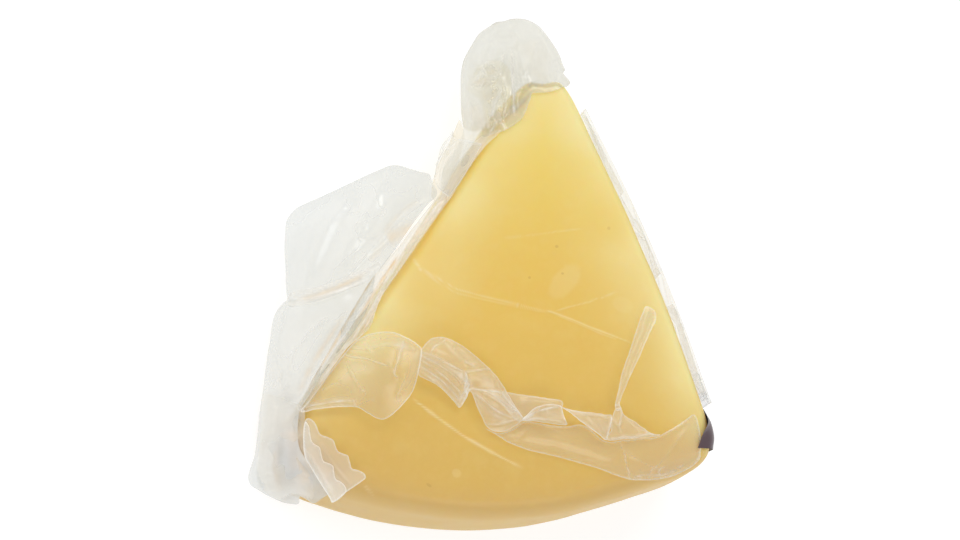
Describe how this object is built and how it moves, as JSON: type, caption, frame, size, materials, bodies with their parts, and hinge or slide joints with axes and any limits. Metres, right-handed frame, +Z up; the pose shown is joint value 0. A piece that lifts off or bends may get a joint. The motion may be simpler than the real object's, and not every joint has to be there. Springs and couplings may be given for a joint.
{
  "type": "wrapped wedge of cheese",
  "caption": "Wedge of firm pale-yellow cheese with a rounded rind edge, lying flat in its torn, crumpled clear film wrapper.",
  "frame": {"origin": "middle of the footprint, on the surface the wedge lies on", "axes": "+Z up, +Y from the rind towards the tip along the wedge's length, +X to the right"},
  "size_m": [0.1179, 0.1402, 0.0449],
  "materials": {
    "cheese": "smooth, waxy, slightly translucent firm cheese",
    "clear_film": "clear, glossy, crumpled packaging film",
    "crimped_film": "two heat-sealed layers of clear film, cut in a zigzag",
    "label": "dark purple-grey gloss label paper, plain"
  },
  "bodies": {
    "root": {"cheese_wedge": "cheese", "film_base": "clear_film", "film_hood": "clear_film", "film_left_side": "clear_film", "film_left_flap": "clear_film", "film_lower_flap": "clear_film", "film_tongue": "clear_film", "film_band": "clear_film", "film_torn_strip": "clear_film", "film_lower_skin": "clear_film", "film_right_side": "clear_film", "film_right_ribbon": "clear_film", "end_seal_front": "crimped_film", "end_seal_back": "crimped_film", "label_corner": "label"}
  },
  "joints": []
}
